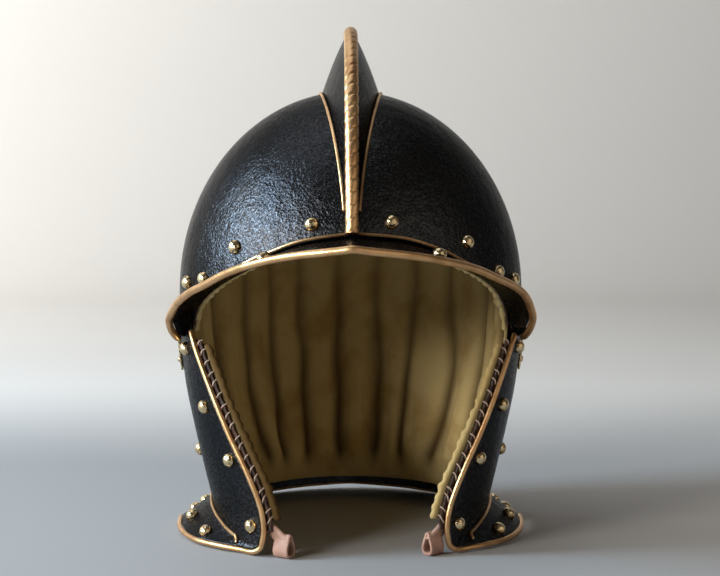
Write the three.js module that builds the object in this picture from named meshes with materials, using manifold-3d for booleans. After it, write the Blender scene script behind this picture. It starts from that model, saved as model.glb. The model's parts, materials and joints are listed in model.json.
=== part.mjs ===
// A burgonet: an open-faced steel helmet with a tall comb, a fixed peak over the brow, hinged
// cheek pieces and a flared neck guard. The steel is black, with gilt rolls, lines and rivets.
// Millimetres, +Z up. The face looks along -Y, and left and right are the wearer's: left is +X.

import * as THREE from "three";
import { mergeVertices } from "three/addons/utils/BufferGeometryUtils.js";
import Module from "manifold-3d";

const wasm = await Module();
wasm.setup();

const { lerp, degToRad, radToDeg } = THREE.MathUtils;

// Driving sizes
const STEEL = 1.6; // thickness of every plate
const GAP = 0.3; // clearance between pieces that lie against each other
const WIDEST_Z = 143; // height of the widest section of the skull
const CROWN_RISE = 122; // the dome's top above that section
const COMB_RISE = 33.8; // the comb's edge above the dome at the crown
const COMB_THIN = 2.6; // the comb's half width at its two ends
const COMB_FOOT = 15.6; // how much that grows from brow to crown
const ROPE = 3.55; // radius of the comb's roped roll at its ends
const COMB_START = 19.6; // meridian angles of the comb's two ends, 90 at the crown
const COMB_END = 172;
const ROPE_START = 17.6; // the rope runs down over the brow line
const PEAK_END = 71.5; // angle round the head at which the peak runs out
const CHEEK_REAR = 95; // angle of the cheek piece's rear edge
const LEFT_TURN = 4; // the left cheek piece's front edge lies this many degrees further back
const BAND_SHOWS = 3.4; // how far the cheek's leather passes its front edge, in degrees
const LINING_SHOWS = 4.8; // and its lining
const NECK_FRONT = 88; // angle of the neck guard's edge, lapped inside the cheek piece
const NECK_LAP = 10; // how far the neck guard reaches up inside the skull
const LINING = 3.6; // padded linen
const LEATHER = 1.5;
const RIVET_RADIUS = 4.1;
const RIVET_RISE = 3.6;
const HINGE_TURN_X = 108.2; // the hinge pin's axis runs along Y at this X and Z
const HINGE_TURN_Z = 117.3;

// The layers inside the steel, each measured from the outer face
const LAP_GAP = 0.8; // clearance between curved layers
const LAPPED = STEEL + LAP_GAP; // a plate tucked inside another
const PEAK_ROOT = LAPPED + GAP;
const BAND_INSET = PEAK_ROOT + LAPPED;
const LINING_INSET = BAND_INSET + LEATHER + LAP_GAP;
const CHEEK_BAND_INSET = LAPPED + 2 * GAP; // clear of the rolled edge, which it passes
const CHEEK_LINING_INSET = CHEEK_BAND_INSET + LEATHER + LAP_GAP;

// Half width of the wall and its reach to front and back, up to the widest section
const WALL = [
  { z: 15, half: 86, front: 105, back: 105 },
  { z: 35, half: 90.8, front: 107, back: 107 },
  { z: 60, half: 96.6, front: 111, back: 112 },
  { z: 90, half: 102.4, front: 116, back: 119 },
  { z: 118, half: 105.1, front: 120, back: 124 },
  { z: WIDEST_Z, half: 105.3, front: 122, back: 126 },
];

// Lower edge of the skull and of its lining, from the brow (0) round to the nape (180). The
// beaten plates aren't quite even: on the wearer's right their edges lie lower by a dip.
const SKULL_EDGE = [
  { angle: 0, z: 180.4, dip: 0, lining: 189 },
  { angle: 15, z: 178, dip: 1.6, lining: 186.5 },
  { angle: 28, z: 171.6, dip: 3.1, lining: 180 },
  { angle: 38, z: 163.5, dip: 2.9, lining: 172 },
  { angle: 47, z: 157, dip: 3.5, lining: 165 },
  { angle: 57, z: 148, dip: 4, lining: 156 },
  { angle: 66, z: 136, dip: 1.6, lining: 145 },
  { angle: 75, z: 118, dip: 0, lining: 126 },
  { angle: 87, z: 118, dip: 0, lining: 124 },
  { angle: 96, z: 118, dip: 0, lining: 30 },
  { angle: 103, z: 94, dip: 0, lining: 12 },
  { angle: 112, z: 72, dip: 0, lining: 10 },
  { angle: 180, z: 72, dip: 0, lining: 10 },
];

// The peak's edge: how far it stands out from the wall and how far it drops below the brow
const PEAK = [
  { angle: 0, reach: 54, drop: 3.6, dip: 0 },
  { angle: 10, reach: 45.5, drop: 5.4, dip: 0 },
  { angle: 19, reach: 36, drop: 6.4, dip: 0.7 },
  { angle: 38, reach: 19, drop: 3.8, dip: 3.1 },
  { angle: 57, reach: 12, drop: 2.4, dip: 4.2 },
  { angle: 66, reach: 9.6, drop: 4, dip: 1.5 },
  { angle: 69.5, reach: 5.6, drop: 4, dip: 0.9 },
  { angle: PEAK_END, reach: 1.8, drop: 2.4, dip: 0.5 },
];

// The flared lower border: height of its crease, its reach and the height of its rim
const FLARE = [
  { angle: 30, crease: -0.4, reach: 0.2, rim: -1.7 },
  { angle: 46, crease: -0.2, reach: 0.8, rim: -1.9 },
  { angle: 55, crease: 2.2, reach: 6.5, rim: -1.8 },
  { angle: 66, crease: 6.8, reach: 13.5, rim: -1.7 },
  { angle: 80, crease: 11.6, reach: 18, rim: -0.7 },
  { angle: 95, crease: 15.8, reach: 19.5, rim: 0.6 },
  { angle: 120, crease: 19, reach: 22, rim: 0.4 },
  { angle: 140, crease: 20, reach: 25, rim: -0.6 },
  { angle: 160, crease: 20, reach: 27, rim: 0.8 },
  { angle: 180, crease: 20, reach: 28, rim: 2.4 },
];

// Front edge of a cheek piece, and its top edge under the skull
const CHEEK_FRONT = [
  { z: 2, angle: 39.4 },
  { z: 9, angle: 37.9 },
  { z: 16, angle: 37.8 },
  { z: 33, angle: 39.9 },
  { z: 60, angle: 47.3 },
  { z: 90, angle: 55.4 },
  { z: 122, angle: 66 },
];
const CHEEK_TOP = [
  { angle: 62, z: 121 },
  { angle: 66, z: 120.5 },
  { angle: 70, z: 117.5 },
  { angle: 74, z: 116.6 },
  { angle: 96, z: 116.6 },
];

// Smooth reading of one column of a table at a value of another, without overshoot
function read(table, by, at, column) {
  const last = table.length - 1;
  const grade = (k) => (table[k + 1][column] - table[k][column]) / (table[k + 1][by] - table[k][by]);
  const slope = (k) => {
    const before = grade(Math.max(k - 1, 0));
    const after = grade(Math.min(k, last - 1));
    return before * after > 0 ? (2 * before * after) / (before + after) : 0;
  };
  let k = 0;
  while (k < last - 1 && at > table[k + 1][by]) {
    k += 1;
  }
  const span = table[k + 1][by] - table[k][by];
  const t = THREE.MathUtils.clamp((at - table[k][by]) / span, 0, 1);
  const u = 1 - t;
  return (
    u * u * (1 + 2 * t) * table[k][column] +
    t * t * (1 + 2 * u) * table[k + 1][column] +
    t * u * (u * slope(k) - t * slope(k + 1)) * span
  );
}

// Angle from the brow, 0 to 180 on either side
const fromBrow = (angle) => Math.abs(angle > 180 ? angle - 360 : angle);

// How much lower than on the left an edge lies at an angle on the wearer's right
const dipOf = (table, angle) =>
  angle < 0 || angle > 180 ? read(table, "angle", fromBrow(angle), "dip") : 0;

// Point of the outer wall at an angle round the head and a height
function wall(angle, z) {
  const rise = Math.max(0, (z - WIDEST_Z) / CROWN_RISE);
  const shrink = Math.sqrt(Math.max(0, 1 - rise * rise));
  const side = Math.sin(degToRad(angle));
  const ahead = Math.cos(degToRad(angle));
  const reach = read(WALL, "z", z, ahead > 0 ? "front" : "back");
  return new THREE.Vector3(read(WALL, "z", z, "half") * shrink * side, -reach * shrink * ahead, z);
}

// Level direction straight out of the wall
function outward(angle, z) {
  const step = 0.01;
  const along = wall(angle + step, z).sub(wall(angle - step, z));
  return new THREE.Vector3(-along.y, along.x, 0).normalize().negate();
}

// The meridian angle of a height on the wall, 90 at the crown, and the height of an angle
const levelOf = (z) => {
  const rise = (z - WIDEST_Z) / CROWN_RISE;
  return radToDeg(rise > 0 ? Math.asin(Math.min(rise, 1)) : rise);
};
const heightOf = (level) =>
  WIDEST_Z + CROWN_RISE * (level > 0 ? Math.sin(degToRad(Math.min(level, 90))) : degToRad(level));

// Outward normal of a surface of two parameters
function normalAt(surface, u, v) {
  const step = 1e-3;
  const alongU = surface(u + step, v).sub(surface(u - step, v));
  const alongV = surface(u, v + step).sub(surface(u, v - step));
  const normal = alongU.cross(alongV);
  return normal.lengthSq() > 1e-18 ? normal.normalize() : new THREE.Vector3(0, 0, 1);
}

// Point under a surface by a depth
const under = (surface, u, v, depth) => surface(u, v).addScaledVector(normalAt(surface, u, v), -depth);

// Point beyond the rim (low v) or the front edge (low u) of a plate, square to that edge
function beyond(surface, u, v, depth, distance, alongRim) {
  const step = 1e-3;
  const normal = normalAt(surface, u, v);
  const away = alongRim
    ? surface(u + step, v).sub(surface(u - step, v)).cross(normal)
    : normal.clone().cross(surface(u, v + step).sub(surface(u, v - step)));
  return under(surface, u, v, depth).addScaledVector(away.normalize(), distance);
}

// Evenly spaced values from first to last
const spaced = (first, last, count) =>
  Array.from({ length: count + 1 }, (_, i) => lerp(first, last, i / count));

// The values with their mirror images on the other side of 0
const bothSides = (values) => [...values.filter((v) => v > 0).map((v) => -v).reverse(), ...values];

function geometryOf(points, faces) {
  const geometry = new THREE.BufferGeometry().setFromPoints(points);
  geometry.setIndex(faces);
  return geometry;
}

// A closed sheet on a surface: its outer face lies inset below the surface, its inner face a
// thickness further in. A ring joins its last column to its first; a pole ends it in a point.
function sheet(surface, columns, rows, inset, thickness, { ring = false, pole = false } = {}) {
  const points = [];
  const layer = (depth) =>
    rows.map((v, j) => {
      const tip = pole && j === rows.length - 1;
      const made = (tip ? columns.slice(0, 1) : columns).map((u) => {
        points.push(under(surface, u, v, depth));
        return points.length - 1;
      });
      return (i) => made[tip ? 0 : i % columns.length];
    });
  const outer = layer(inset);
  const inner = layer(inset + thickness);
  const faces = [];
  const face = (a, b, c) => {
    if (a !== b && b !== c && c !== a) {
      faces.push(a, b, c);
    }
  };
  const quad = (a, b, c, d) => {
    face(a, b, c);
    face(a, c, d);
  };
  const across = ring ? columns.length : columns.length - 1;
  const top = rows.length - 1;
  for (let i = 0; i < across; i += 1) {
    for (let j = 0; j < top; j += 1) {
      quad(outer[j](i), outer[j](i + 1), outer[j + 1](i + 1), outer[j + 1](i));
      quad(inner[j](i), inner[j + 1](i), inner[j + 1](i + 1), inner[j](i + 1));
    }
    quad(outer[0](i + 1), outer[0](i), inner[0](i), inner[0](i + 1));
    if (!pole) {
      quad(outer[top](i), outer[top](i + 1), inner[top](i + 1), inner[top](i));
    }
  }
  for (let j = 0; j < top && !ring; j += 1) {
    quad(outer[j](0), outer[j + 1](0), inner[j + 1](0), inner[j](0));
    quad(outer[j + 1](across), outer[j](across), inner[j](across), inner[j + 1](across));
  }
  return geometryOf(points, faces);
}

// A closed body through a run of outlines, each anticlockwise as seen from the first
function loft(outlines) {
  const count = outlines[0].length;
  const faces = [];
  for (let s = 0; s < outlines.length - 1; s += 1) {
    for (let i = 0; i < count; i += 1) {
      const a = s * count + i;
      const b = s * count + ((i + 1) % count);
      faces.push(a, b + count, b, a, a + count, b + count);
    }
  }
  const end = (outlines.length - 1) * count;
  for (let i = 1; i < count - 1; i += 1) {
    faces.push(0, i, i + 1, end, end + i + 1, end + i);
  }
  return geometryOf(outlines.flat(), faces);
}

// A round bar of a few sides bent along a line of points
function roll(points, radius, sides, steps) {
  const round = spaced(0, 2 * Math.PI, sides)
    .slice(0, sides)
    .map((t) => new THREE.Vector2(radius * Math.cos(t), radius * Math.sin(t)));
  const path = new THREE.CatmullRomCurve3(points, false, "centripetal");
  return new THREE.ExtrudeGeometry(new THREE.Shape(round), {
    extrudePath: path,
    steps,
    bevelEnabled: false,
  });
}

// Solids for joining and cutting, and the geometry of a result
function solidOf(geometry) {
  const bare = geometry.clone();
  bare.deleteAttribute("normal");
  bare.deleteAttribute("uv");
  const merged = mergeVertices(bare, 1e-4);
  return new wasm.Manifold(
    new wasm.Mesh({
      numProp: 3,
      vertProperties: new Float32Array(merged.attributes.position.array),
      triVerts: new Uint32Array(merged.index.array),
    }),
  );
}
function geometryFrom(solid) {
  const { vertProperties, triVerts } = solid.getMesh();
  const geometry = new THREE.BufferGeometry();
  geometry.setAttribute("position", new THREE.BufferAttribute(vertProperties, 3));
  geometry.setIndex(new THREE.BufferAttribute(triVerts, 1));
  return geometry;
}

// Finishes, each made afresh for its piece
const finish = (color, roughness, metalness) => () =>
  new THREE.MeshStandardMaterial({ color, roughness, metalness });
const black = finish(0x25282c, 0.4, 0.85);
const gilt = finish(0xb48c55, 0.32, 1);
const brass = finish(0xc2a874, 0.3, 1);
const linen = finish(0x94845f, 0.95, 0);
const darkLeather = finish(0x4b3423, 0.75, 0);
const paleLeather = finish(0xc29c82, 0.8, 0);

const helmet = new THREE.Group();
helmet.name = "burgonet";
const SIDES = [
  ["left", 1],
  ["right", -1],
];

function place(group, name, geometry, material) {
  const mesh = new THREE.Mesh(geometry, material());
  mesh.name = name;
  group.add(mesh);
  return mesh;
}

// A domed rivet head seated on a surface
function rivet(group, name, surface, u, v) {
  const profile = [
    [0, 0],
    [RIVET_RADIUS, 0],
    [RIVET_RADIUS * 0.78, RIVET_RISE * 0.62],
    [0, RIVET_RISE],
  ].map(([x, y]) => new THREE.Vector2(x, y));
  const mesh = place(group, name, new THREE.LatheGeometry(profile, 8), brass);
  const normal = normalAt(surface, u, v);
  mesh.position.copy(surface(u, v).addScaledVector(normal, GAP));
  mesh.quaternion.setFromUnitVectors(new THREE.Vector3(0, 1, 0), normal);
}

// Skull: a dome raised from one plate, from its lower edge to the crown
const skullEdge = (angle) =>
  read(SKULL_EDGE, "angle", fromBrow(angle), "z") - dipOf(SKULL_EDGE, angle);
const skullSurface = (angle, v) => wall(angle, heightOf(lerp(levelOf(skullEdge(angle)), 90, v)));
const SKULL_FRONT = [0, 8, 16, 24, 32, 40, 48, 56, 64, 70, 75, 82, 89];
const SKULL_BACK = [96, 101, 106, 112, 121, 131, 141, 151, 161, 171];
const dome = sheet(
  skullSurface,
  [...bothSides([...SKULL_FRONT, ...SKULL_BACK]), 180],
  [0, 0.1, 0.22, 0.35, 0.49, 0.65, 0.83, 1],
  0,
  STEEL,
  { ring: true, pole: true },
);

// The comb's stations run over the dome from brow to nape. At each, a frame has its foot on
// the dome, x across the comb and height straight out of the dome.
function combStation(level) {
  const t = degToRad(level);
  const reach = level < 90 ? WALL.at(-1).front : WALL.at(-1).back;
  const foot = new THREE.Vector3(0, -reach * Math.cos(t), WIDEST_Z + CROWN_RISE * Math.sin(t));
  const up = new THREE.Vector3(0, -Math.cos(t) / reach, Math.sin(t) / CROWN_RISE);
  const bend = 1 / (WALL.at(-1).half ** 2 * up.length());
  up.normalize();
  const swell = Math.sin((Math.PI * (level - 14)) / (COMB_END + 8 - 14)) ** 1.65;
  const half = COMB_THIN + COMB_FOOT * swell ** 1.1;
  const rope = ROPE + 0.5 * swell ** 0.4;
  return {
    half,
    rope,
    rise: 1.6 + (COMB_RISE - 1.6) * swell,
    crest: 0.8 * rope,
    fall: -0.5 * half * half * bend,
    at: (x, height) => foot.clone().addScaledVector(up, height).setX(x),
  };
}
const COMB_LEVELS = spaced(COMB_START, COMB_END, 18);
const combOuter = COMB_LEVELS.map((level) => {
  const s = combStation(level);
  const middle = 0.5 * (s.half + s.crest) + 0.01 * s.rise;
  return [
    s.at(-s.half, s.fall - 0.5 * STEEL),
    s.at(s.half, s.fall - 0.5 * STEEL),
    s.at(middle, 0.5 * s.rise),
    s.at(s.crest, s.rise),
    s.at(-s.crest, s.rise),
    s.at(-middle, 0.5 * s.rise),
  ];
});
const combInner = COMB_LEVELS.filter((level) => combStation(level).rise > 8).map((level) => {
  const s = combStation(level);
  const foot = s.half - 1.3 * STEEL;
  const head = s.crest - STEEL;
  return [
    s.at(-foot, s.fall - 3 * STEEL),
    s.at(foot, s.fall - 3 * STEEL),
    s.at(head, s.rise - 1.5 * STEEL),
    s.at(-head, s.rise - 1.5 * STEEL),
  ];
});
const skull = solidOf(dome).add(solidOf(loft(combOuter))).subtract(solidOf(loft(combInner)));
place(helmet, "skull", geometryFrom(skull), black);

// Roped roll along the comb's edge: flat below, with strands cut across its round back
const ROPE_PITCH = 15.4; // two strands, one on each shoulder in turn
const ropeLength = (level) => degToRad(level - COMB_START) * (WALL.at(-1).front + 18);
const ropeOutlines = spaced(ROPE_START, COMB_END - 0.2, 78).map((level) => {
  const s = combStation(level);
  const phase = (2 * Math.PI * ropeLength(level)) / ROPE_PITCH;
  return [-25, 25, 90, 155, 205].map((degrees) => {
    const t = degToRad(degrees);
    const radius = s.rope * (1 - 0.07 * (1 - Math.cos(2 * phase + 2 * t)));
    const height = Math.max(Math.sin(t), -0.35) * radius;
    return s.at(Math.cos(t) * radius, s.rise + GAP + 0.42 * s.rope + height);
  });
});
place(helmet, "comb_rope", loft(ropeOutlines), gilt);

// Gilt wires along both feet of the comb
const WIRE = 0.75;
for (const [side, sign] of SIDES) {
  const line = spaced(COMB_START + 5, COMB_END - 1, 24).map((level) => {
    const s = combStation(level);
    return s.at(sign * (s.half + 1.1), s.fall + WIRE + GAP + 0.15);
  });
  place(helmet, `comb_line_${side}`, roll(line, WIRE, 3, 22), gilt);
}

// Peak: its bill stands out under the skull's brow, and its root turns up inside the skull
const PEAK_LAP = 11;
function peakSurface(angle, v) {
  const brow = skullEdge(angle);
  if (v > 1) {
    return under(wall, angle, brow + (v - 1) * PEAK_LAP, PEAK_ROOT);
  }
  const reach = lerp(read(PEAK, "angle", fromBrow(angle), "reach"), -PEAK_ROOT, v);
  const dip = dipOf(PEAK, angle) - dipOf(SKULL_EDGE, angle);
  const drop = (read(PEAK, "angle", fromBrow(angle), "drop") + dip) * (1 - v) + 4 * GAP;
  return wall(angle, brow).addScaledVector(outward(angle, brow), reach).setZ(brow - drop);
}
const PEAK_ANGLES = bothSides([0, 5, 10, 16, 22, 29, 36, 43, 50, 56, 61, 65, 68, 70.5, PEAK_END]);
place(
  helmet,
  "peak",
  sheet(peakSurface, PEAK_ANGLES, [0, 0.35, 0.7, 0.96, 1.12, 2], 0, STEEL),
  black,
);
const PEAK_ROLL = 2.2;
const ROLL_GAP = 0.5; // between a roll and the plate it edges
const PEAK_RIM = bothSides([0, 2, 5, 10, 16, 24, 32, 40, 48, 56, 62, 66, 69, 71, PEAK_END]);
const peakRim = PEAK_RIM.map((angle) =>
  beyond(peakSurface, angle, 0, STEEL / 2, PEAK_ROLL + ROLL_GAP, true),
);
place(helmet, "peak_edge", roll(peakRim, PEAK_ROLL, 6, 38), gilt);
const browLine = bothSides([0, 8, 16, 24, 32, 40, 48, 56, 62, 67, 71]).map((angle) => {
  const z = skullEdge(angle) + WIRE + GAP;
  return wall(angle, z).addScaledVector(outward(angle, z), WIRE + GAP + 0.1);
});
place(helmet, "peak_line", roll(browLine, WIRE, 3, 28), gilt);

// The flared border that the cheek pieces and the neck guard share
const flareOf = (angle, column) => read(FLARE, "angle", fromBrow(angle), column);
function flare(angle, spread) {
  const crease = flareOf(angle, "crease");
  const reach = flareOf(angle, "reach") * Math.max(spread, 0) ** 1.2;
  const point = wall(angle, crease).addScaledVector(outward(angle, crease), reach);
  return point.setZ(lerp(crease, flareOf(angle, "rim"), spread));
}

// Neck guard, tucked inside the skull above and inside the cheek pieces in front. Its flare is
// held back where a cheek piece covers it. v runs from -1 at the rim over 0 at the crease to 1.
const NECK_ROLL_START = 98;
function neckSurface(angle, v) {
  if (v < 0) {
    const cover = THREE.MathUtils.smoothstep(fromBrow(angle), CHEEK_REAR + 0.4, NECK_ROLL_START - 0.8);
    return flare(angle, -v * lerp(0.7, 1, cover));
  }
  const high = Math.min(skullEdge(angle) + NECK_LAP, 108);
  return wall(angle, lerp(flareOf(angle, "crease"), high, v));
}
const NECK_HALF = [NECK_FRONT, 92, 95.4, 97.2, 102, 108, 114, 122, 131, 141, 151, 161, 171];
const NECK_ANGLES = [...NECK_HALF, 180, ...NECK_HALF.map((angle) => 360 - angle).reverse()];
place(
  helmet,
  "neck_guard",
  sheet(neckSurface, NECK_ANGLES, [-1, -0.6, -0.25, 0, 0.5, 1], LAPPED, STEEL),
  black,
);
const EDGE_ROLL = 1.6;
const neckRim = spaced(NECK_ROLL_START, 360 - NECK_ROLL_START, 24).map((angle) =>
  beyond(neckSurface, angle, -1, LAPPED + STEEL / 2, EDGE_ROLL + ROLL_GAP, true),
);
place(helmet, "neck_edge", roll(neckRim, EDGE_ROLL, 6, 30), gilt);
const neckLine = spaced(97, 263, 20).map((angle) =>
  under(neckSurface, angle, 0.03, LAPPED - WIRE - GAP - 0.2),
);
place(helmet, "neck_line", roll(neckLine, WIRE, 3, 22), gilt);

// Padded linen lining, gathered into upright folds that die out towards the crown
const FOLDS = 24;
const FOLD_DEPTH = 1.4;
function liningSurface(angle, v) {
  const low = levelOf(read(SKULL_EDGE, "angle", fromBrow(angle), "lining"));
  const level = lerp(low, 90, v);
  const z = heightOf(level);
  const depth = FOLD_DEPTH * (1 - v) * (1 + Math.cos(degToRad(FOLDS * angle)));
  return wall(angle, z).addScaledVector(outward(angle, Math.min(z, 200)), -depth);
}
place(
  helmet,
  "lining",
  sheet(
    liningSurface,
    spaced(-180, 180, 2 * FOLDS).slice(0, -1),
    [0, 0.18, 0.38, 0.59, 0.81, 1],
    LINING_INSET,
    LINING,
    { ring: true, pole: true },
  ),
  linen,
);

// Leather band inside the brow
const BAND_WIDTH = 12;
const browBandSurface = (angle, v) => wall(angle, skullEdge(angle) + 0.6 + BAND_WIDTH * v);
place(
  helmet,
  "brow_band",
  sheet(browBandSurface, bothSides([0, 9, 18, 27, 36, 45, 53, 60, 66, 71]), [0, 1], BAND_INSET, LEATHER),
  darkLeather,
);

for (const [side, sign] of SIDES) {
  [13, 40, 54, 66].forEach((angle, i) => {
    const level = [0.06, 0.08, 0.036, 0.08][i];
    rivet(helmet, `rivet_brow_${side}_${i + 1}`, skullSurface, sign * angle, level);
  });
  [124, 159].forEach((angle, i) => {
    rivet(helmet, `rivet_nape_${side}_${i + 1}`, skullSurface, sign * angle, 0.045);
  });
  rivet(helmet, `rivet_peak_${side}`, peakSurface, sign * 24, 0.5);
  [100, 113].forEach((angle, i) => {
    const seat = (u, v) => under(neckSurface, u, v, LAPPED);
    const low = [-0.78, -0.8][i];
    rivet(helmet, `rivet_neck_${side}_${i + 1}`, seat, sign > 0 ? angle : 360 - angle, low);
  });
}

// Cheek piece: u runs from its front edge to its rear edge, v as on the neck guard. A turn sets
// the front edge back; start sets the front of an inner layer from it, and end is its rear angle.
const cheekFront = (v) => {
  const z = lerp(CHEEK_FRONT[0].z, CHEEK_FRONT.at(-1).z, Math.max(v, 0));
  return read(CHEEK_FRONT, "z", z, "angle") + 2 * Math.max(-v, 0);
};
const cheekWall = (angle, v) =>
  wall(angle, lerp(flareOf(angle, "crease"), read(CHEEK_TOP, "angle", angle, "z"), v));
const cheekPlate = (turn) => (u, v) => {
  const angle = lerp(cheekFront(v) + turn, CHEEK_REAR, u);
  return v < 0 ? flare(angle, -v) : cheekWall(angle, v);
};
const cheekInner = (turn, start, end) => (u, v) => {
  const front = cheekFront(v) + turn + start;
  return cheekWall(lerp(front, end ?? front + 2 * BAND_SHOWS, u), v);
};

// Hinge: a leaf on the skull with two knuckles and the pin, and a leaf on the cheek piece with
// the knuckle between them. Each knuckle has room to turn past the other leaf.
const HINGE_FRONT_Y = -15;
const HINGE_REAR_Y = 13;
const KNUCKLE = 2.4;
const PIN = 1.1;
const HINGE_LEAF = 1.4;
const HINGE_SPLIT = [HINGE_FRONT_Y, -5.5, 3.5, HINGE_REAR_Y];
function barrel(from, to, radius) {
  const bar = new THREE.CylinderGeometry(radius, radius, to - from, 10);
  bar.translate(HINGE_TURN_X, (from + to) / 2, HINGE_TURN_Z);
  return solidOf(bar);
}
function hingeLeaf(low, high) {
  const surface = (y, z) => {
    const reach = read(WALL, "z", z, y < 0 ? "front" : "back");
    return wall(90 + radToDeg(Math.asin(y / reach)), z);
  };
  const columns = spaced(HINGE_FRONT_Y, HINGE_REAR_Y, 4);
  return solidOf(sheet(surface, columns, [low, high], -GAP - HINGE_LEAF, HINGE_LEAF));
}
const outerKnuckles = (radius, spare) =>
  barrel(HINGE_SPLIT[0] - spare, HINGE_SPLIT[1] + spare, radius).add(
    barrel(HINGE_SPLIT[2] - spare, HINGE_SPLIT[3] + spare, radius),
  );
const skullLeaf = hingeLeaf(HINGE_TURN_Z, 139)
  .subtract(barrel(HINGE_SPLIT[1] - 0.4, HINGE_SPLIT[2] + 0.4, KNUCKLE + 0.5))
  .add(outerKnuckles(KNUCKLE, 0))
  .add(barrel(HINGE_FRONT_Y, HINGE_REAR_Y, PIN));
const cheekLeaf = hingeLeaf(95, HINGE_TURN_Z)
  .subtract(outerKnuckles(KNUCKLE + 0.5, 0.4))
  .add(barrel(HINGE_SPLIT[1], HINGE_SPLIT[2], KNUCKLE))
  .subtract(barrel(HINGE_FRONT_Y, HINGE_REAR_Y, PIN + 0.4));

// Strap loop at the foot of a cheek piece: a tab inside the plate, then a ring for a chin lace
const LOOP_WIDTH = 10.5;
const LOOP_ANGLE = 30.3;
const LOOP_FOOT = -6; // level with the lowest rolls
function strapLoop(turn) {
  const tabSurface = (u, v) => {
    const angle = lerp(27, 33.5, u) + 12 * v + turn;
    return wall(angle, lerp(4, 15, v));
  };
  const tab = sheet(tabSurface, [0, 0.5, 1], [0, 0.5, 1], CHEEK_LINING_INSET, 2 * LEATHER);
  const half = [
    { x: 0.55, y: 0 },
    { x: 0.92, y: 0.13 },
    { x: 1, y: 0.3 },
    { x: 0.72, y: 0.56 },
    { x: 0.36, y: 0.8 },
  ];
  const drop = (width, low, high) => {
    const right = half.map(({ x, y }) => new THREE.Vector2(x * width, lerp(low, high, y)));
    const left = right.map((p) => new THREE.Vector2(-p.x, p.y)).reverse();
    return [...right, new THREE.Vector2(0, high), ...left];
  };
  const outline = new THREE.Shape(drop(4.6, 0, 14));
  outline.holes.push(new THREE.Path(drop(2.6, 1.9, 10.5)));
  const ring = new THREE.ExtrudeGeometry(outline, { depth: LOOP_WIDTH, bevelEnabled: false });
  ring.translate(0, 0, -LOOP_WIDTH / 2);
  ring.rotateX(Math.PI / 2);
  const out = outward(LOOP_ANGLE + turn, 4);
  ring.rotateZ(Math.atan2(out.y, out.x));
  const back = -CHEEK_LINING_INSET - 1.6 * LEATHER;
  const seat = wall(LOOP_ANGLE + turn, 4).addScaledVector(out, back);
  ring.translate(seat.x, seat.y, LOOP_FOOT);
  return geometryFrom(solidOf(tab).add(solidOf(ring)));
}

function cheek(side, turn) {
  const cheekSurface = cheekPlate(turn);
  const group = new THREE.Group();
  group.name = `cheek_piece_${side}`;
  const rows = [-1, -0.5, 0, 0.09, 0.18, 0.34, 0.5, 0.66, 0.83, 1];
  place(group, `cheek_${side}`, sheet(cheekSurface, spaced(0, 1, 9), rows, 0, STEEL), black);

  const front = [1, 0.92, 0.83, 0.74, 0.66, 0.58, 0.5, 0.34, 0.18, 0.09, 0.03, 0, -0.6].map((v) =>
    beyond(cheekSurface, 0, v, STEEL / 2, EDGE_ROLL + 1.3 * ROLL_GAP, false),
  );
  const rim = spaced(0.03, 1, 14).map((u) =>
    beyond(cheekSurface, u, -1, STEEL / 2, EDGE_ROLL + 1.3 * ROLL_GAP, true),
  );
  place(group, `cheek_edge_${side}`, roll([...front, ...rim], EDGE_ROLL, 6, 36), gilt);

  const crease = spaced(0.23, 1, 12).map((u) => [u, 0.012]);
  const line = [[0.18, -0.5], [0.2, -0.2], ...crease].map(([u, v]) =>
    under(cheekSurface, u, v, -WIRE - GAP - 0.2),
  );
  place(group, `cheek_line_${side}`, roll(line, WIRE, 3, 16), gilt);

  const strip = cheekInner(turn, -BAND_SHOWS);
  const band = sheet(strip, [0, 0.5, 1], spaced(0.08, 0.96, 9), CHEEK_BAND_INSET, LEATHER);
  place(group, `cheek_band_${side}`, band, darkLeather);
  const padding = sheet(
    cheekInner(turn, -LINING_SHOWS, 86),
    [0, 0.1, 0.25, 0.5, 0.75, 1],
    [0.13, 0.25, 0.39, 0.53, 0.67, 0.81, 0.93],
    CHEEK_LINING_INSET,
    LINING,
  );
  place(group, `cheek_lining_${side}`, padding, linen);
  place(group, `strap_loop_${side}`, strapLoop(1.8 * turn), paleLeather);
  place(group, `hinge_cheek_${side}`, geometryFrom(cheekLeaf), brass);

  const wallSeat = (angle, z) => under(wall, angle, z, -GAP / 2);
  const studs = [
    { angle: 69.6, z: 110.5 },
    { angle: 58.8, z: 78 },
    { angle: 48.6, z: 48.5 },
    { angle: 42.2, z: 11 },
  ];
  studs.forEach(({ angle, z }, i) => {
    rivet(group, `rivet_cheek_${side}_${i + 1}`, wallSeat, angle + turn, z);
  });
  rivet(group, `rivet_cheek_rear_${side}`, wallSeat, 89, 44);
  const flareSeat = (u, v) => under(cheekSurface, u, v, -GAP);
  [0.46, 0.8].forEach((u, i) => {
    rivet(group, `rivet_flare_${side}_${i + 1}`, flareSeat, u, -0.7);
  });
  return group;
}

for (const [side, sign] of SIDES) {
  const group = cheek(side, sign > 0 ? LEFT_TURN : 0);
  group.scale.x = sign;
  helmet.add(group);
  const leaf = place(helmet, `hinge_skull_${side}`, geometryFrom(skullLeaf), brass);
  leaf.scale.x = sign;
}

// Stand the helmet on its lowest point, centred over the origin
const bounds = new THREE.Box3().setFromObject(helmet, true);
helmet.position.y = -(bounds.min.y + bounds.max.y) / 2;
helmet.position.z = -bounds.min.z;

export default helmet;
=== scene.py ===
# %% [markdown]
# # Dressing a burgonet
# A burgonet is an open-faced steel helmet with a comb, a peak over the brow, hinged cheek pieces and
# a flared neck guard. Its plain solids are loaded first and stay where they are, as the frame that
# every piece below is fitted to.

# %% Load the solids
import json
import math

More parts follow.
